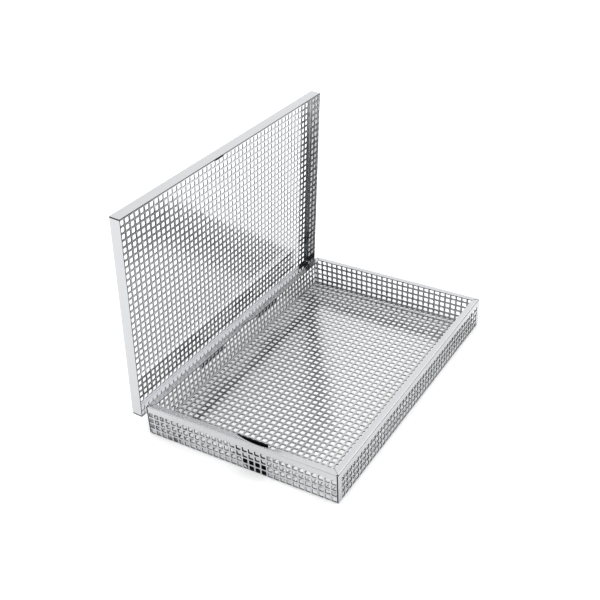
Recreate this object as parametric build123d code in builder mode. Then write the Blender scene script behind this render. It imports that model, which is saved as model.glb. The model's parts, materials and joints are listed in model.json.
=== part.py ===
"""Perforated autoclave basket: a folded sheet tray, a hinged perforated lid, two butt hinges,
a lid catch and a tag pocket. Millimetres, +Z up, X along the hinge, +Y to the hinge side."""

from math import cos, radians, sin
import os

from build123d import *

os.makedirs("parts", exist_ok=True)

# Sheet
sheet = 1.0  # thickness of tray and lid
bend = 1.5  # outer radius of a fold
seam = 0.4  # open seam where two folded edges meet

# Tray
tray_length = 390.0
tray_width = 250.0
tray_height = 40.0
flange = 8.2  # width of the rim turned inwards
corner_relief = 1.3  # radius of the relief hole at each rim corner

# Gaps: open_share of each cell is open, the rest is bar. A field holds a whole number of
# cells, each as near to the nominal cell as that allows.
open_share = 0.75
panel_cell = 31.0  # nominal, in the floor and the lid
wall_cell = 15.4  # nominal
floor_margin_x, floor_margin_y = 7.0, 5.0  # from the walls' outer faces to the field
wall_margin_low, wall_margin_high = 5.0, 4.0  # from the floor's underside, and from the rim

# Notches in the rim: chord and depth of a shallow arc
end_notch_chord, end_notch_depth, end_notch_y = 62.0, 5.5, -23.5
hinge_notch_chord, hinge_notch_depth = 30.0, 3.0

# Lid, a shallow cap over the tray
lid_side_gap = 2.0  # from the tray's wall to the skirt
lid_rest_gap = 0.3  # from the rim to the closed panel
skirt = 14.0  # depth of the skirt, outside
lid_open_deg = 86.0  # the lid stands leaning a little over the tray
lid_margin = 6.0  # from the skirts' outer faces to the field
lid_length = tray_length + 2 * (lid_side_gap + sheet)
lid_width = tray_width + 2 * (lid_side_gap + sheet)

# Hinges: five knuckles each, three on the tray and two on the lid
hinge_x = 63.0  # middle of each hinge from the tray's middle
hinge_length = 48.0
leaf = 1.0
leaf_height = 12.0  # from the axis
knuckle_radius = 3.0
knuckle_gap = 0.3  # between knuckles, and round them
pin_radius = 1.45
pin_clearance = 0.05
pin_head_radius, pin_head = 2.3, 0.8
bore_radius = pin_radius + pin_clearance
knuckle = hinge_length / 5
knuckle_solid = knuckle - knuckle_gap
hinge_solid = hinge_length - knuckle_gap
lid_knuckle_radius = knuckle_radius - knuckle_gap
reach = knuckle_radius + knuckle_gap  # free circle round the axis

# Catch: a spring tongue inside the front skirt
catch_width = 16.0
catch_x = -28.0  # middle of the tongue
catch_thickness = 0.8
catch_above, catch_below = 8.0, 2.6  # above and below the skirt's edge
catch_flare = 0.9

# Tag pocket, a sleeve inside one end wall, and the tag leaning in it, its head inside the rim
pocket_width = 44.4
pocket_y = -13.3
pocket_low, pocket_high = 17.0, 33.5  # heights of the sleeve's two edges
pocket_clearance = 0.2
tag = 1.0
tag_foot_gap = 0.5  # from the wall's inner face to the tag's foot
tag_corner_y, tag_corner_z = 17.5, 16.0  # the tag's cut lower corner
tag_width = pocket_width - 2 * sheet - 4 * pocket_clearance

# Derived levels
wall_x, wall_y = tray_length / 2, tray_width / 2
rim_under = tray_height - sheet
tag_top = rim_under - pocket_clearance
tag_foot = -wall_x + sheet + tag_foot_gap
tag_head = -wall_x + flange + pocket_clearance
tag_lean = (tag_head - tag_foot) / (tag_top - sheet)
pocket_reach = tag_foot + tag + tag_lean * (pocket_high - sheet) + pocket_clearance + sheet
lid_top = tray_height + lid_rest_gap + sheet  # closed
skirt_edge = lid_top - skirt  # closed
axis_y = wall_y + knuckle_radius
axis_z = skirt_edge - reach

# Fields and their whole cells
floor_field_x = tray_length - 2 * floor_margin_x
floor_field_y = tray_width - 2 * floor_margin_y
floor_columns = round(floor_field_x / panel_cell)
floor_rows = round(floor_field_y / panel_cell)
wall_field = tray_height - wall_margin_low - wall_margin_high
wall_middle = wall_margin_low + wall_field / 2
wall_rows = round(wall_field / wall_cell)
long_wall_columns = round(floor_field_x / wall_cell)
short_wall_columns = round(floor_field_y / wall_cell)
lid_field_x = lid_length - 2 * lid_margin
lid_field_y = lid_width - 2 * lid_margin
lid_columns = round(lid_field_x / panel_cell)
lid_rows = round(lid_field_y / panel_cell)

# The lid's own frame: origin on the hinge axis, turned from closed to open
lid_across = (0, cos(radians(lid_open_deg)), -sin(radians(lid_open_deg)))
lid_normal = (0, sin(radians(lid_open_deg)), cos(radians(lid_open_deg)))
lid_frame = Plane(origin=(0, axis_y, axis_z), x_dir=(1, 0, 0), z_dir=lid_normal)
lid_profile = Plane(origin=(0, axis_y, axis_z), x_dir=lid_across, z_dir=(1, 0, 0))
lid_axis = Axis((0, axis_y, axis_z), lid_normal)


with BuildPart() as tray_body:
    with BuildSketch(Plane.XY):
        Rectangle(tray_length, tray_width)
    extrude(amount=tray_height)
    fillet(tray_body.edges().filter_by(Axis.Z, reverse=True), bend)
    # inside of the tray, up to the rim
    with BuildSketch(Plane.XY.offset(sheet)):
        Rectangle(tray_length - 2 * sheet, tray_width - 2 * sheet)
    extrude(amount=tray_height - 2 * sheet, mode=Mode.SUBTRACT)
    # mouth inside the rim
    with BuildSketch(Plane.XY.offset(rim_under)):
        Rectangle(tray_length - 2 * flange, tray_width - 2 * flange)
    extrude(amount=2 * sheet, mode=Mode.SUBTRACT)
    # floor gaps
    floor_pitch_x = floor_field_x / floor_columns
    floor_pitch_y = floor_field_y / floor_rows
    with BuildSketch(Plane.XY):
        with GridLocations(floor_pitch_x, floor_pitch_y, floor_columns, floor_rows):
            Rectangle(open_share * floor_pitch_x, open_share * floor_pitch_y)
    extrude(amount=2 * sheet, mode=Mode.SUBTRACT)
    # long wall gaps, both walls at once
    long_pitch = floor_field_x / long_wall_columns
    rise_pitch = wall_field / wall_rows
    with BuildSketch(Plane.XZ) as long_gaps:
        with Locations((0, wall_middle)):
            with GridLocations(long_pitch, rise_pitch, long_wall_columns, wall_rows):
                Rectangle(open_share * long_pitch, open_share * rise_pitch)
    extrude(amount=tray_width, both=True, mode=Mode.SUBTRACT)
    # short wall gaps, both walls at once
    short_pitch = floor_field_y / short_wall_columns
    with BuildSketch(Plane.YZ) as short_gaps:
        with Locations((0, wall_middle)):
            with GridLocations(short_pitch, rise_pitch, short_wall_columns, wall_rows):
                Rectangle(open_share * short_pitch, open_share * rise_pitch)
    extrude(amount=tray_length, both=True, mode=Mode.SUBTRACT)
    # shallow notches in the rim's inner edge
    end_notch_radius = (end_notch_chord**2 / 4 + end_notch_depth**2) / (2 * end_notch_depth)
    hinge_notch_radius = (hinge_notch_chord**2 / 4 + hinge_notch_depth**2) / (
        2 * hinge_notch_depth
    )
    with BuildSketch(Plane.XY.offset(rim_under)):
        with Locations((-wall_x + flange - end_notch_depth + end_notch_radius, end_notch_y)):
            Circle(end_notch_radius)
        with Locations((0, wall_y - flange + hinge_notch_depth - hinge_notch_radius)):
            Circle(hinge_notch_radius)
    extrude(amount=2 * sheet, mode=Mode.SUBTRACT)
    # relief hole and mitre seam at each rim corner
    with BuildSketch(Plane.XY.offset(rim_under - bend)):
        with GridLocations(tray_length - 2 * corner_relief, tray_width - 2 * corner_relief, 2, 2):
            Circle(corner_relief)
    extrude(amount=bend + 2 * sheet, mode=Mode.SUBTRACT)
    with BuildSketch(Plane.XY.offset(rim_under)):
        for end, side in ((1, 1), (1, -1), (-1, 1), (-1, -1)):
            with Locations((end * (wall_x - flange / 2), side * (wall_y - flange / 2))):
                Rectangle(2 * flange, seam, rotation=45 * end * side)
    extrude(amount=2 * sheet, mode=Mode.SUBTRACT)
    # open seam down each corner, on the end walls
    with BuildSketch(Plane.XY.offset(2 * bend)):
        with GridLocations(tray_length - sheet, tray_width - 2 * sheet - seam, 2, 2):
            Rectangle(2 * sheet, seam)
    extrude(amount=tray_height, mode=Mode.SUBTRACT)
tray_body.part.label = "tray_body"
export_step(tray_body.part, "parts/tray_body.step")


with BuildPart() as lid_panel:
    panel_y = -axis_y  # middle of the panel in the lid's frame
    with BuildSketch(lid_frame.offset(skirt_edge - axis_z)):
        with Locations((0, panel_y)):
            Rectangle(lid_length, lid_width)
    extrude(amount=skirt)
    fillet(lid_panel.faces().sort_by(lid_axis)[-1].edges(), bend)
    with BuildSketch(lid_frame.offset(skirt_edge - axis_z)):
        with Locations((0, panel_y)):
            Rectangle(lid_length - 2 * sheet, lid_width - 2 * sheet)
    extrude(amount=skirt - sheet, mode=Mode.SUBTRACT)
    # gaps
    lid_pitch_x = lid_field_x / lid_columns
    lid_pitch_y = lid_field_y / lid_rows
    with BuildSketch(lid_frame.offset(tray_height - axis_z)):
        with Locations((0, panel_y)):
            with GridLocations(lid_pitch_x, lid_pitch_y, lid_columns, lid_rows):
                Rectangle(open_share * lid_pitch_x, open_share * lid_pitch_y)
    extrude(amount=3 * sheet, mode=Mode.SUBTRACT)
    # open seam down each corner, on the end skirts
    with BuildSketch(lid_frame.offset(skirt_edge - axis_z)):
        with Locations((0, panel_y)):
            with GridLocations(lid_length - sheet, lid_width - 2 * sheet - seam, 2, 2):
                Rectangle(2 * sheet, seam)
    extrude(amount=skirt - bend, mode=Mode.SUBTRACT)
lid_panel.part.label = "lid_panel"
export_step(lid_panel.part, "parts/lid_panel.step")


for side, hinge_middle in (("left", -hinge_x), ("right", hinge_x)):
    hinge_start = hinge_middle - hinge_solid / 2

    with BuildPart() as hinge_tray_leaf:
        # knuckles with the leaf's root, at both ends and in the middle
        for place in (-2, 0, 2):
            with BuildSketch(Plane.YZ.offset(hinge_middle + place * knuckle - knuckle_solid / 2)):
                with Locations((axis_y, axis_z)):
                    Circle(knuckle_radius)
                with Locations((wall_y + leaf / 2, axis_z + reach / 2)):
                    Rectangle(leaf, reach)
                with Locations((axis_y, axis_z)):
                    Circle(bore_radius, mode=Mode.SUBTRACT)
            extrude(amount=knuckle_solid)
        # leaf against the tray's wall
        with BuildSketch(Plane.XZ.offset(-wall_y - leaf)):
            with Locations((hinge_middle, axis_z + (reach + leaf_height) / 2)):
                Rectangle(hinge_solid, leaf_height - reach)
        extrude(amount=leaf)
    hinge_tray_leaf.part.label = f"hinge_tray_leaf_{side}"
    export_step(hinge_tray_leaf.part, f"parts/hinge_tray_leaf_{side}.step")

    with BuildPart() as hinge_lid_leaf:
        # knuckles with the leaf's root, between those of the tray
        for place in (-1, 1):
            with BuildSketch(lid_profile.offset(hinge_middle + place * knuckle - knuckle_solid / 2)):
                Circle(lid_knuckle_radius)
                with Locations((leaf / 2, reach / 2)):
                    Rectangle(leaf, reach)
                Circle(bore_radius, mode=Mode.SUBTRACT)
            extrude(amount=knuckle_solid)
        # leaf against the lid's skirt
        with BuildSketch(lid_profile.offset(hinge_start)):
            with Locations((leaf / 2, (reach + leaf_height) / 2)):
                Rectangle(leaf, leaf_height - reach)
        extrude(amount=hinge_solid)
    hinge_lid_leaf.part.label = f"hinge_lid_leaf_{side}"
    export_step(hinge_lid_leaf.part, f"parts/hinge_lid_leaf_{side}.step")

    with BuildPart() as hinge_pin:
        # a head at each end of the pin, just outside the outer knuckles
        for start, length, radius in (
            (hinge_start - pin_head, pin_head, pin_head_radius),
            (hinge_start, hinge_solid, pin_radius),
            (hinge_start + hinge_solid, pin_head, pin_head_radius),
        ):
            with BuildSketch(Plane.YZ.offset(start)):
                with Locations((axis_y, axis_z)):
                    Circle(radius)
            extrude(amount=length)
    hinge_pin.part.label = f"hinge_pin_{side}"
    export_step(hinge_pin.part, f"parts/hinge_pin_{side}.step")


with BuildPart() as lid_catch:
    tongue_x = -lid_width / 2 + sheet - axis_y  # inner face of the front skirt
    tongue_top = reach + catch_above
    tongue_turn = reach - catch_below / 3
    tongue_end = reach - catch_below
    with BuildSketch(lid_profile.offset(catch_x - catch_width / 2)):
        with BuildLine():
            Polyline(
                (tongue_x, tongue_top),
                (tongue_x + catch_thickness, tongue_top),
                (tongue_x + catch_thickness, tongue_turn),
                (tongue_x + catch_thickness - catch_flare, tongue_end),
                (tongue_x - catch_flare, tongue_end),
                (tongue_x, tongue_turn),
                close=True,
            )
        make_face()
    extrude(amount=catch_width)
lid_catch.part.label = "lid_catch"
export_step(lid_catch.part, "parts/lid_catch.step")


with BuildPart() as tag_pocket:
    pocket_stand = pocket_reach + wall_x - sheet
    with BuildSketch(Plane.XY.offset(pocket_low)):
        with Locations((-wall_x + sheet + pocket_stand / 2, pocket_y)):
            Rectangle(pocket_stand, pocket_width)
            Rectangle(pocket_stand - 2 * sheet, pocket_width - 2 * sheet, mode=Mode.SUBTRACT)
    extrude(amount=pocket_high - pocket_low)
tag_pocket.part.label = "tag_pocket"
export_step(tag_pocket.part, "parts/tag_pocket.step")


with BuildPart() as id_tag:
    tag_side = pocket_y + tag_width / 2
    with BuildSketch(Plane.XZ.offset(-tag_side)):
        with BuildLine():
            Polyline(
                (tag_foot, sheet),
                (tag_foot + tag, sheet),
                (tag_head + tag, tag_top),
                (tag_head, tag_top),
                close=True,
            )
        make_face()
    extrude(amount=tag_width)
    # cut corner
    with BuildSketch(Plane.YZ.offset(-wall_x)):
        with BuildLine():
            Polyline(
                (tag_side, sheet),
                (tag_side, tag_corner_z),
                (tag_side - tag_corner_y, sheet),
                close=True,
            )
        make_face()
    extrude(amount=tag_head + 2 * tag + wall_x, mode=Mode.SUBTRACT)
id_tag.part.label = "id_tag"
export_step(id_tag.part, "parts/id_tag.step")
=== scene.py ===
"""Autoclave basket of perforated stainless steel, standing open on a white studio floor.

Metres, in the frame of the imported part: X along the hinge, +Y to the hinge side, +Z up."""

import json
import math

import bpy
from mathutils import Matrix, Vector


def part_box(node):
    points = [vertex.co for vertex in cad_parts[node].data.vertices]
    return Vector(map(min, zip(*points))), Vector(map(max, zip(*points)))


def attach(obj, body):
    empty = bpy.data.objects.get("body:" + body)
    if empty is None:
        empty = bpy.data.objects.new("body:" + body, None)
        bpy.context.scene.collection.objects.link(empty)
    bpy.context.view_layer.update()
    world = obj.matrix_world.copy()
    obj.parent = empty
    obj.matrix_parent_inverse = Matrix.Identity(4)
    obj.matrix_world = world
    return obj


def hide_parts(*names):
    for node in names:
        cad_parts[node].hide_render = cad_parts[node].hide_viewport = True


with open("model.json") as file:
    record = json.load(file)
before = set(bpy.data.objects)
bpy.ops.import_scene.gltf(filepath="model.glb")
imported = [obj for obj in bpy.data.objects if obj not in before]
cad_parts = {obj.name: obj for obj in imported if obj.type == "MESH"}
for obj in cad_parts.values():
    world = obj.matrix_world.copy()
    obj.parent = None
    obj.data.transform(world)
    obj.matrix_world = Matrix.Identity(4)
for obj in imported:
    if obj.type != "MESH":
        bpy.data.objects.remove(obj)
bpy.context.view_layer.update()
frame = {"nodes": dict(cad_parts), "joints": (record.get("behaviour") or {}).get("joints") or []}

MM = 0.001

# Sheet and its punching, in millimetres
SHEET = 1.0  # thickness
BEND = 1.5  # outer radius of a fold
PITCH = 8.0  # of the square holes, both ways
HOLE = 6.0  # side of a hole
HOLE_ROUND = 1.0  # radius of a hole's corner
FOLD_STEPS = 4  # facets round a quarter turn
SEAM_GAP = 0.35  # each flange's edge stands back from the mitre by this
RIM_RELIEF = 2.2  # the rim's fold stops this far from the tray's corner

# Tray, in millimetres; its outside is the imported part's
FLOOR_COLUMNS, FLOOR_ROWS = 47, 31
WALL_ROWS = 4  # whole rows of holes on each wall
LONG_LAST_LINE = 33.0  # height of the line above the highest row on the long walls
NEAR_LAST_LINE = 32.6  # the same on the near end wall
FAR_FIRST_LINE = 4.5  # far end wall: height of the line above the row that runs round the fold
FLANGE = 8.2  # width of the rim's turned-in flange, from the wall's outer face
END_NOTCH = (62.0, 5.5, -23.5)  # chord, depth and middle of the shallow arc in the rim
HINGE_NOTCH = (30.0, 3.0, 0.0)  # the same, in the rim beside the lid
NOTCH_STEP = 2.0  # between points of a notch's arc

# Lid, in millimetres
LID_COLUMNS, LID_ROWS = 48, 31
SKIRT = 14.0  # its height, from the panel's outer face
LID_REST_GAP = 0.3  # from the rim to the closed panel

FOLD = BEND - SHEET / 2  # radius of the sheet's middle
FOLD_LENGTH = FOLD * math.pi / 2


def linear(hex_colour):
    """An sRGB hex colour as linear RGBA."""
    channels = [int(hex_colour[i : i + 2], 16) / 255 for i in (1, 3, 5)]
    curve = [c / 12.92 if c <= 0.04045 else ((c + 0.055) / 1.055) ** 2.4 for c in channels]
    return (*curve, 1.0)


# ---------------------------------------------------------------- perforated sheet


class Blank:
    """A flat blank of sheet steel: points of its plan in millimetres, and the faces between them."""

    def __init__(self):
        self.points = []
        self.numbers = {}
        self.faces = []

    def number(self, point):
        """The number of this point of the plan, which is added if it is new."""
        key = (round(point[0], 3), round(point[1], 3))
        if key not in self.numbers:
            self.numbers[key] = len(self.points)
            self.points.append(point)
        return self.numbers[key]

    def face(self, *corners):
        """A face with these corners, turned so that its inner side looks up from the plan."""
        numbers = list(dict.fromkeys(self.number(c) for c in corners))
        if len(numbers) < 3:
            return
        ring = [self.points[n] for n in numbers]
        area = sum(a[0] * b[1] - b[0] * a[1] for a, b in zip(ring, ring[1:] + ring[:1]))
        self.faces.append(numbers if area > 0 else numbers[::-1])

    def plain(self, at, lines, cells):
        """Unpierced sheet between lines both ways. at(line, cell) is a point of the blank."""
        for l0, l1 in zip(lines, lines[1:]):
            for c0, c1 in zip(cells, cells[1:]):
                self.face(at(l0, c0), at(l1, c0), at(l1, c1), at(l0, c1))

    def punched(self, at, lines, holes, cells, centres, folds=()):
        """Rows of square holes between lines both ways: holes lie between the lines and centres
        between the cells' lines. folds are lines of a bend that cross the first row."""
        for k, hole in enumerate(holes):
            for j, centre in enumerate(centres):
                near, far = at(lines[k], cells[j]), at(lines[k + 1], cells[j + 1])
                self.pierced(near, far, at(hole, centre), folds if k == 0 else ())

    def pierced(self, near, far, hole, folds):
        """One cell, between two of its corners, with a square hole whose corners are rounded."""
        half, r = HOLE / 2, HOLE_ROUND
        u0, u1 = sorted((near[0], far[0]))
        v0, v1 = sorted((near[1], far[1]))
        corners = [(u0, v0), (u1, v0), (u1, v1), (u0, v1)]
        arcs = []
        for turn in range(4):
            sign_u = (-1, 1, 1, -1)[turn]
            sign_v = (-1, -1, 1, 1)[turn]
            middle = (hole[0] + sign_u * (half - r), hole[1] + sign_v * (half - r))
            start = math.pi * (1 + turn / 2)
            arcs.append(
                [
                    (middle[0] + r * math.cos(start + a), middle[1] + r * math.sin(start + a))
                    for a in (0, math.pi / 4, math.pi / 2)
                ]
            )
        for turn in range(4):
            corner, after = corners[turn], corners[(turn + 1) % 4]
            begin, arc_middle, end = arcs[turn]
            follow = arcs[(turn + 1) % 4][0]
            self.face(corner, arc_middle, begin)
            self.face(corner, end, arc_middle)
            if folds and turn % 2 == 0:
                across = sorted(folds, reverse=turn == 2)
                outer = [corner, *((f, corner[1]) for f in across), after]
                inner = [end, *((f, end[1]) for f in across), follow]
                for k in range(len(outer) - 1):
                    self.face(outer[k], outer[k + 1], inner[k + 1], inner[k])
            else:
                self.face(corner, after, follow, end)

    def stitch(self, near, far):
        """Faces between two rows of (place along the row, point) with different spacing."""
        i = j = 0
        while i < len(near) - 1 or j < len(far) - 1:
            next_near = near[i + 1][0] if i < len(near) - 1 else math.inf
            next_far = far[j + 1][0] if j < len(far) - 1 else math.inf
            if abs(next_near - next_far) < 1e-6:
                self.face(near[i][1], near[i + 1][1], far[j + 1][1], far[j][1])
                i, j = i + 1, j + 1
            elif next_near < next_far:
                self.face(near[i][1], near[i + 1][1], far[j][1])
                i += 1
            else:
                self.face(near[i][1], far[j + 1][1], far[j][1])
                j += 1


def hole_lines(count, ends=None):
    """Lines between a row of cells about the middle, with its two ends moved to +-ends."""
    lines = [PITCH * (i - count / 2) for i in range(count + 1)]
    if ends:
        lines[0], lines[-1] = -ends, ends
    return lines


def hole_centres(count):
    """Centres of a row of holes about the middle."""
    return [PITCH * (i - (count - 1) / 2) for i in range(count)]


def quarter_turn(start):
    """Distances of a fold's lines along the blank, from start."""
    return [start + FOLD_LENGTH * k / FOLD_STEPS for k in range(FOLD_STEPS + 1)]


def up_wall(height):
    """Distance along the blank, from the start of the bottom fold, of a height on the wall."""
    return FOLD_LENGTH + height - BEND


def folded(point, flat, straight):
    """Where a point of the blank lies in the folded sheet, and which way its inner side looks.
    flat is the half-size of the unfolded middle, straight the flat part of each side."""
    u, v = point
    side = 1 if abs(v) > flat[1] + 1e-6 else 0 if abs(u) > flat[0] + 1e-6 else None
    if side is None:
        return Vector((u, v, SHEET / 2)), Vector((0, 0, 1))
    sign = math.copysign(1, point[side])
    distance = abs(point[side]) - flat[side]
    if distance <= FOLD_LENGTH:
        a = distance / FOLD
        out, rise, look = FOLD * math.sin(a), FOLD * (1 - math.cos(a)), (-math.sin(a), math.cos(a))
    elif distance <= FOLD_LENGTH + straight:
        out, rise, look = FOLD, FOLD + distance - FOLD_LENGTH, (-1.0, 0.0)
    else:
        a = min((distance - FOLD_LENGTH - straight) / FOLD, math.pi / 2)
        past = distance - 2 * FOLD_LENGTH - straight if a == math.pi / 2 else 0
        out, rise = FOLD * math.cos(a) - past, FOLD + straight + FOLD * math.sin(a)
        look = (-math.cos(a), -math.sin(a))
    place = [u, v, SHEET / 2 + rise]
    place[side] = sign * (flat[side] + out)
    inward = [0, 0, look[1]]
    inward[side] = sign * look[0]
    return Vector(place), Vector(inward)


def sheet_mesh(name, blank, flat, straight, place):
    """The folded blank as one closed solid of sheet, put in place by a matrix. Its cut edges take
    the second material."""
    middles = [folded(p, flat, straight) for p in blank.points]
    count = len(middles)
    turn = place.to_3x3()
    inner = [place @ ((m + n * SHEET / 2) * MM) for m, n in middles]
    outer = [place @ ((m - n * SHEET / 2) * MM) for m, n in middles]
    looks = [turn @ n for m, n in middles]

    faces, normals = [], []
    edges = set()
    for face in blank.faces:
        faces.append(face)
        normals.extend(looks[n] for n in face)
        faces.append([n + count for n in reversed(face)])
        normals.extend(-looks[n] for n in reversed(face))
        edges.update(zip(face, face[1:] + face[:1]))
    for a, b in sorted(edges):
        if (b, a) in edges:
            continue
        faces.append([a + count, b + count, b, a])
        across = (inner[b] - inner[a]).cross(looks[a]).normalized()
        normals.extend([across] * 4)

    mesh = bpy.data.meshes.new(name)
    mesh.from_pydata(inner + outer, [], faces)
    mesh.shade_smooth()
    cut = len(faces) - 2 * len(blank.faces)
    mesh.polygons.foreach_set("material_index", [0] * 2 * len(blank.faces) + [1] * cut)
    mesh.normals_split_custom_set(normals)
    mesh.update()
    piece = bpy.data.objects.new(name, mesh)
    bpy.context.scene.collection.objects.link(piece)
    return piece


# ---------------------------------------------------------------- tray

tray_low, tray_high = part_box("tray_body")
HALF_LENGTH = tray_high.x / MM
HALF_WIDTH = tray_high.y / MM
TRAY_HEIGHT = tray_high.z / MM
TRAY_FLAT = (HALF_LENGTH - BEND, HALF_WIDTH - BEND)  # half-size of the floor between its folds


def notch_depth(notch, along):
    """How deep a shallow arc cuts into the rim at a place along it."""
    if notch is None:
        return 0
    chord, depth, middle = notch
    radius = (chord**2 / 4 + depth**2) / (2 * depth)
    off = abs(along - middle)
    return math.sqrt(radius**2 - off**2) - radius + depth if off < chord / 2 else 0


def outward(axis, sign, flat):
    """A function that gives the blank's point at a distance past the bottom fold's start, and at
    a place along the wall."""

    def at(distance, along):
        point = [along, along]
        point[axis] = sign * (flat + distance)
        return tuple(point)

    return at


def rim(blank, at, along, start, half, notch=None):
    """The plain band above a wall's last row of holes, the fold over it and the flange."""
    fine = set(along)
    if notch:
        chord, depth, middle = notch
        steps = round(chord / NOTCH_STEP)
        fine.update(middle - chord / 2 + chord * k / steps for k in range(steps + 1))
    fine = sorted(fine)
    end = max(along)
    top = up_wall(TRAY_HEIGHT - BEND)
    rows = [[(a, at(start, a)) for a in along], [(a, at(top, a)) for a in fine]]
    for distance in quarter_turn(top)[1:]:
        rows.append([(a, at(distance, a * (half - RIM_RELIEF) / end)) for a in fine])
    inner_half = half - FLANGE - SEAM_GAP
    edge = []
    for a in fine:
        narrowed = a * inner_half / end
        depth = notch_depth(notch, narrowed)
        edge.append((a, at(top + FOLD_LENGTH + FLANGE - BEND - depth, narrowed)))
    rows.append(edge)
    for near, far in zip(rows, rows[1:]):
        blank.stitch(near, far)


def wall(blank, at, cells, centres, plain, last_line, half, notch=None):
    """A wall that is plain at its fold. cells are the lines beside its holes and plain the strips
    of lines that have none."""
    lowest = last_line - PITCH * WALL_ROWS
    lines = [up_wall(max(lowest + PITCH * k, BEND)) for k in range(WALL_ROWS + 1)]
    holes = [up_wall(lowest + PITCH * (k + 0.5)) for k in range(WALL_ROWS)]
    blank.punched(at, lines, holes, cells, centres)
    for strip in plain:
        blank.plain(at, lines, strip)
    along = sorted({*cells, *(place for strip in plain for place in strip)})
    rim(blank, at, along, lines[-1], half, notch)


def tray_blank():
    """The tray's sheet, laid flat: the floor and its four walls with their rims."""
    blank = Blank()
    flat_u, flat_v = TRAY_FLAT
    columns, rows = hole_lines(FLOOR_COLUMNS), hole_lines(FLOOR_ROWS, flat_v)
    holes_u, holes_v = hole_centres(FLOOR_COLUMNS), hole_centres(FLOOR_ROWS)
    blank.punched(lambda u, v: (u, v), columns, holes_u, rows, holes_v)
    turn = quarter_turn(0)

    # Near end wall
    near_end = outward(0, -1, flat_u)
    blank.plain(near_end, [-columns[0] - flat_u, *turn], rows)
    wall(blank, near_end, rows, holes_v, (), NEAR_LAST_LINE, HALF_WIDTH, END_NOTCH)

    # Far end wall: its lowest row of holes runs round the fold
    far_end = outward(0, 1, flat_u)
    first = up_wall(FAR_FIRST_LINE) - PITCH
    lines = [first + PITCH * k for k in range(WALL_ROWS + 2)]
    holes = [line + PITCH / 2 for line in lines[:-1]]
    blank.plain(far_end, [columns[-1] - flat_u, first], rows)
    blank.punched(far_end, lines, holes, rows, holes_v, [flat_u + d for d in turn])
    rim(blank, far_end, rows, lines[-1], HALF_WIDTH)

    # Long walls
    left = [-HALF_LENGTH, -flat_u, columns[0]]
    right = [columns[-1], flat_u + first, flat_u, HALF_LENGTH]
    for side in (-1, 1):
        at = outward(1, side, flat_v)
        blank.plain(at, turn, left[1:] + columns[1:-1] + right[:-1])
        notch = HINGE_NOTCH if side > 0 else None
        wall(blank, at, columns, holes_u, (left, right), LONG_LAST_LINE, HALF_LENGTH, notch)
    return blank


tray = sheet_mesh(
    "perforated_tray", tray_blank(), TRAY_FLAT, TRAY_HEIGHT - 2 * BEND, Matrix.Identity(4)
)

# ---------------------------------------------------------------- lid

hinge = frame["joints"][0]
hinge_point = Vector(hinge["pos_m"])
lid_open = math.radians(hinge["range_deg"][1])
LID_HALF_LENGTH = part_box("lid_panel")[1].x / MM
LID_HALF_WIDTH = hinge_point.y / MM  # its outer face passes through the hinge's axis
LID_FLAT = (LID_HALF_LENGTH - BEND, LID_HALF_WIDTH - BEND)
LID_TOP = TRAY_HEIGHT + LID_REST_GAP + SHEET  # closed


def lid_blank():
    """The lid's sheet, laid flat: the panel with a plain margin, and its four skirts."""
    blank = Blank()
    flat_u, flat_v = LID_FLAT
    columns, rows = hole_lines(LID_COLUMNS), hole_lines(LID_ROWS)
    centres = hole_centres(LID_COLUMNS), hole_centres(LID_ROWS)
    blank.punched(lambda u, v: (u, v), columns, centres[0], rows, centres[1])
    all_columns = [-flat_u, *columns, flat_u]
    all_rows = [-flat_v, *rows, flat_v]
    turn, edge = quarter_turn(0), up_wall(SKIRT)
    for sign in (-1, 1):
        end, side = outward(0, sign, flat_u), outward(1, sign, flat_v)
        blank.plain(end, [columns[-1] - flat_u, *turn, edge], all_rows)
        blank.plain(side, [rows[-1] - flat_v, 0], columns)
        blank.plain(side, turn, all_columns)
        blank.plain(side, [turn[-1], edge], [-LID_HALF_LENGTH, *all_columns, LID_HALF_LENGTH])
    return blank


def closed_lid_place():
    """Turns the folded lid over, on to the rim of the closed tray."""
    return Matrix.Translation((0, 0, LID_TOP * MM)) @ Matrix.Rotation(math.pi, 4, "X")


def opened():
    """From the closed lid to the lid at rest, back on its stop."""
    turn = Matrix.Rotation(-lid_open, 4, "X")
    return Matrix.Translation(hinge_point) @ turn @ Matrix.Translation(-hinge_point)


lid = sheet_mesh("perforated_lid", lid_blank(), LID_FLAT, SKIRT, opened() @ closed_lid_place())

# ---------------------------------------------------------------- materials


def new_material(name):
    """An empty material that takes nodes."""
    material = bpy.data.materials.new(name)
    material.use_nodes = True
    material.node_tree.nodes.clear()
    return material


def add_node(owner, kind, settings=None, sockets=None):
    """Adds one node. settings are its own properties; sockets maps an input to its value, or to
    the output that is linked to it. An input is named, or numbered where a node has several of
    that name."""
    node = owner.node_tree.nodes.new(kind)
    for name, value in (settings or {}).items():
        setattr(node, name, value)
    for name, value in (sockets or {}).items():
        if isinstance(value, bpy.types.NodeSocket):
            owner.node_tree.links.new(value, node.inputs[name])
        else:
            node.inputs[name].default_value = value
    return node


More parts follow.
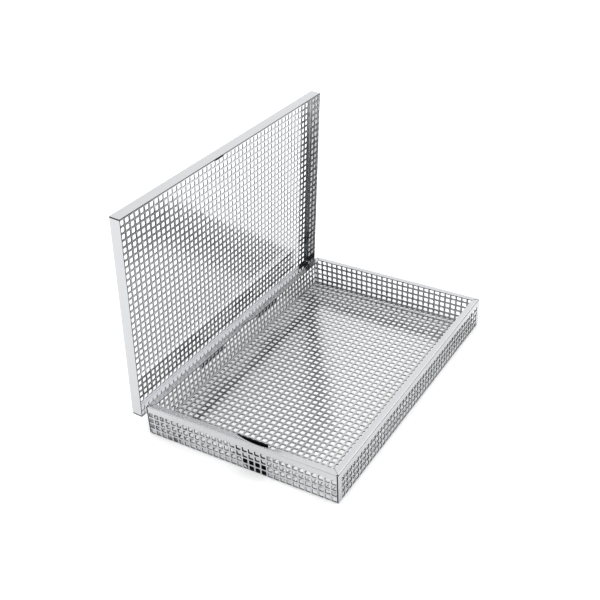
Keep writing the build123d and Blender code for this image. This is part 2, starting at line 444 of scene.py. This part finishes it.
def stainless_steel(name, colour, roughness, wave_mm, wave_depth_mm):
    """Stainless steel, rolled, punched and electropolished: near mirror, with a soft edge to each
    reflection and a faint unevenness of the sheet that bends long reflections. Where loads slide
    over it, as in the tray, fine scuffs make it rougher and its reflections softer."""
    material = new_material(name)
    place = add_node(material, "ShaderNodeTexCoord").outputs["Object"]
    wave = add_node(
        material,
        "ShaderNodeTexNoise",
        sockets={"Vector": place, "Scale": 1 / (wave_mm * MM), "Detail": 2.0},
    )
    bump = add_node(
        material,
        "ShaderNodeBump",
        sockets={"Height": wave.outputs["Fac"], "Distance": wave_depth_mm * MM, "Strength": 1.0},
    )
    shader = add_node(
        material,
        "ShaderNodeBsdfPrincipled",
        sockets={
            "Base Color": linear(colour),
            "Metallic": 1.0,
            "Roughness": roughness,
            "Normal": bump.outputs["Normal"],
        },
    )
    add_node(
        material, "ShaderNodeOutputMaterial", sockets={"Surface": shader.outputs["BSDF"]}
    )
    return material


def sheared_steel_painted_shade(name):
    """The cut edge of stainless sheet, sheared by the punch: torn across its thickness, so that it
    stays dull.
    Its near-black colour, far darker than the faces beside it, is painted shade for the holes'
    walls."""
    material = new_material(name)
    shader = add_node(
        # painted shade: a near-black base colour on the cut edges, where the hole walls fall dark
        material,
        "ShaderNodeBsdfPrincipled",
        sockets={"Base Color": linear("#47484c"), "Metallic": 1.0, "Roughness": 0.5},
    )
    add_node(
        material, "ShaderNodeOutputMaterial", sockets={"Surface": shader.outputs["BSDF"]}
    )
    return material


def near_black_satin(name, mottle_mm):
    """A satin near-black with a faint mottling."""
    material = new_material(name)
    place = add_node(material, "ShaderNodeTexCoord").outputs["Object"]
    mottle = add_node(
        material,
        "ShaderNodeTexNoise",
        sockets={"Vector": place, "Scale": 1 / (mottle_mm * MM), "Detail": 3.0},
    )
    colours = add_node(
        material,
        "ShaderNodeMix",
        settings={"data_type": "RGBA"},
        sockets={0: mottle.outputs["Fac"], 6: linear("#111214"), 7: linear("#1c1d20")},
    )
    shader = add_node(
        material,
        "ShaderNodeBsdfPrincipled",
        sockets={"Base Color": colours.outputs[2], "Metallic": 0.3, "Roughness": 0.45},
    )
    add_node(
        material, "ShaderNodeOutputMaterial", sockets={"Surface": shader.outputs["BSDF"]}
    )
    return material


def studio_white(name, colour):
    """Matt white studio paper: no sheen, so that it stays even from side to side."""
    material = new_material(name)
    shader = add_node(
        material,
        "ShaderNodeBsdfPrincipled",
        sockets={"Base Color": linear(colour), "Roughness": 1.0, "Specular IOR Level": 0.0},
    )
    add_node(
        material, "ShaderNodeOutputMaterial", sockets={"Surface": shader.outputs["BSDF"]}
    )
    return material


tray_steel = stainless_steel(
    "scuffed_stainless_sheet", "#c9cacc", roughness=0.19, wave_mm=30, wave_depth_mm=0.5
)
lid_steel = stainless_steel(
    "electropolished_stainless_sheet", "#c9cacc", roughness=0.12, wave_mm=30, wave_depth_mm=0.5
)
hinge_steel = stainless_steel(
    "polished_stainless_hinge", "#c4c5c8", roughness=0.2, wave_mm=12, wave_depth_mm=0.01
)
cut_edge_painted_shade = sheared_steel_painted_shade("punched_stainless_edge_painted_shade")
tag_black = near_black_satin("near_black_satin_tag", mottle_mm=4)


def wear(piece, material):
    """Puts one material on a piece, in place of any that it has."""
    piece.data.materials.clear()
    piece.data.materials.append(material)


for piece, body, node, steel in (
    (tray, "tray", "tray_body", tray_steel),
    (lid, "lid", "lid_panel", lid_steel),
):
    piece.data.materials.append(steel)
    piece.data.materials.append(cut_edge_painted_shade)
    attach(piece, body)
    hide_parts(node)

for name, node in frame["nodes"].items():
    if name == "id_tag":
        wear(node, tag_black)
    elif name in ("lid_catch", "tag_pocket"):
        wear(node, lid_steel)
    elif name.startswith("hinge"):
        wear(node, hinge_steel)

# ---------------------------------------------------------------- studio

FLOOR_HALF = 12.0  # half of the studio floor's side, in metres
floor_mesh = bpy.data.meshes.new("studio_floor")
floor_mesh.from_pydata(
    [(x * FLOOR_HALF, y * FLOOR_HALF, 0) for x, y in ((-1, -1), (1, -1), (1, 1), (-1, 1))],
    [],
    [(0, 1, 2, 3)],
)
floor = bpy.data.objects.new("studio_floor", floor_mesh)
bpy.context.scene.collection.objects.link(floor)
floor.data.materials.append(studio_white("matt_white_studio_paper", "#fafafa"))

CAMERA_PLACE = Vector((-0.8059, -0.4747, 0.6919))
CAMERA_HEADING = math.radians(-150.39)  # from the part to the camera, about Z from +X
CAMERA_HEIGHT = math.radians(36.195)  # above the horizon
CAMERA_ROLL = math.radians(-1.2074)
LENS = 55.40  # in millimetres, on a sensor of the width below
SENSOR = 36.0
SHIFT = (-0.0630, 0.1156)

# Even light all round for the matt floor, and for steel the bright and unlit parts that it mirrors
SKY = 1.46  # strength of the whole
BRIGHT, DIM = 1.4, 0.86  # of the lamps' side, -Y, and of the side across from it
SIDE_EDGE = 0.4  # soft change from one to the other, each way from the middle
UNLIT = 0.06
DARK_SIDE = Vector((-0.70, -0.40, 0.59))  # middle of the round unlit part
DARK_EDGE = (math.cos(math.radians(50)), math.cos(math.radians(30)))  # its soft edge
LOW_SIDE = Vector((0, 0.3, 1))  # square to the top of the unlit band round the floor's edge
LOW_EDGE = (0.38, 0.26)  # its soft edge

world = bpy.data.worlds.new("white_studio")
bpy.context.scene.world = world
world.use_nodes = True
world.node_tree.nodes.clear()
way = add_node(world, "ShaderNodeTexCoord").outputs["Generated"]
axes = add_node(world, "ShaderNodeSeparateXYZ", None, {"Vector": way})
rising = add_node(
    world, "ShaderNodeVectorMath", {"operation": "DOT_PRODUCT"}, {0: way, 1: LOW_SIDE}
)
lit = add_node(
    world,
    "ShaderNodeMapRange",
    {"interpolation_type": "SMOOTHSTEP"},
    {
        "Value": axes.outputs["Y"],
        "From Min": -SIDE_EDGE,
        "From Max": SIDE_EDGE,
        "To Min": BRIGHT,
        "To Max": DIM,
    },
)
facing = add_node(
    world, "ShaderNodeVectorMath", {"operation": "DOT_PRODUCT"}, {0: way, 1: DARK_SIDE}
)
behind = add_node(
    world,
    "ShaderNodeMapRange",
    {"interpolation_type": "SMOOTHSTEP"},
    {"Value": facing.outputs["Value"], "From Min": DARK_EDGE[0], "From Max": DARK_EDGE[1]},
)
low = add_node(
    world,
    "ShaderNodeMapRange",
    {"interpolation_type": "SMOOTHSTEP"},
    {"Value": rising.outputs["Value"], "From Min": LOW_EDGE[0], "From Max": LOW_EDGE[1]},
)
unlit = add_node(
    world,
    "ShaderNodeMath",
    {"operation": "MAXIMUM"},
    {0: behind.outputs["Result"], 1: low.outputs["Result"]},
)
mirrored = add_node(
    world,
    "ShaderNodeMix",
    {"data_type": "FLOAT"},
    {0: unlit.outputs["Value"], 2: lit.outputs["Result"], 3: UNLIT},
)
tone = add_node(
    world,
    "ShaderNodeMix",
    {"data_type": "FLOAT"},
    {
        0: add_node(world, "ShaderNodeLightPath").outputs["Is Glossy Ray"],
        2: 1.0,
        3: mirrored.outputs[0],
    },
)
strength = add_node(
    world, "ShaderNodeMath", {"operation": "MULTIPLY"}, {0: tone.outputs[0], 1: SKY}
)
light = add_node(
    world,
    "ShaderNodeBackground",
    None,
    {"Color": (1, 1, 1, 1), "Strength": strength.outputs["Value"]},
)
add_node(world, "ShaderNodeOutputWorld", None, {"Surface": light.outputs["Background"]})

# ---------------------------------------------------------------- camera

forward = -Vector(
    (
        math.cos(CAMERA_HEADING) * math.cos(CAMERA_HEIGHT),
        math.sin(CAMERA_HEADING) * math.cos(CAMERA_HEIGHT),
        math.sin(CAMERA_HEIGHT),
    )
)
level = forward.cross(Vector((0, 0, 1))).normalized()
upright = level.cross(forward)
right = level * math.cos(CAMERA_ROLL) + upright * math.sin(CAMERA_ROLL)
up = upright * math.cos(CAMERA_ROLL) - level * math.sin(CAMERA_ROLL)

camera_data = bpy.data.cameras.new("camera")
camera_data.lens = LENS
camera_data.sensor_width = SENSOR
camera_data.shift_x, camera_data.shift_y = SHIFT
camera_data.clip_start = 0.01
camera = bpy.data.objects.new("camera", camera_data)
bpy.context.scene.collection.objects.link(camera)
aim = Matrix((right, up, -forward)).transposed().to_4x4()
camera.matrix_world = Matrix.Translation(CAMERA_PLACE) @ aim
bpy.context.scene.camera = camera

# The plain sRGB response, with gamma below 1 for more contrast: the background stays clean white
# and the steel's darker reflections gain depth
CONTRAST = 0.8
bpy.context.scene.view_settings.view_transform = "Standard"
bpy.context.scene.view_settings.gamma = CONTRAST
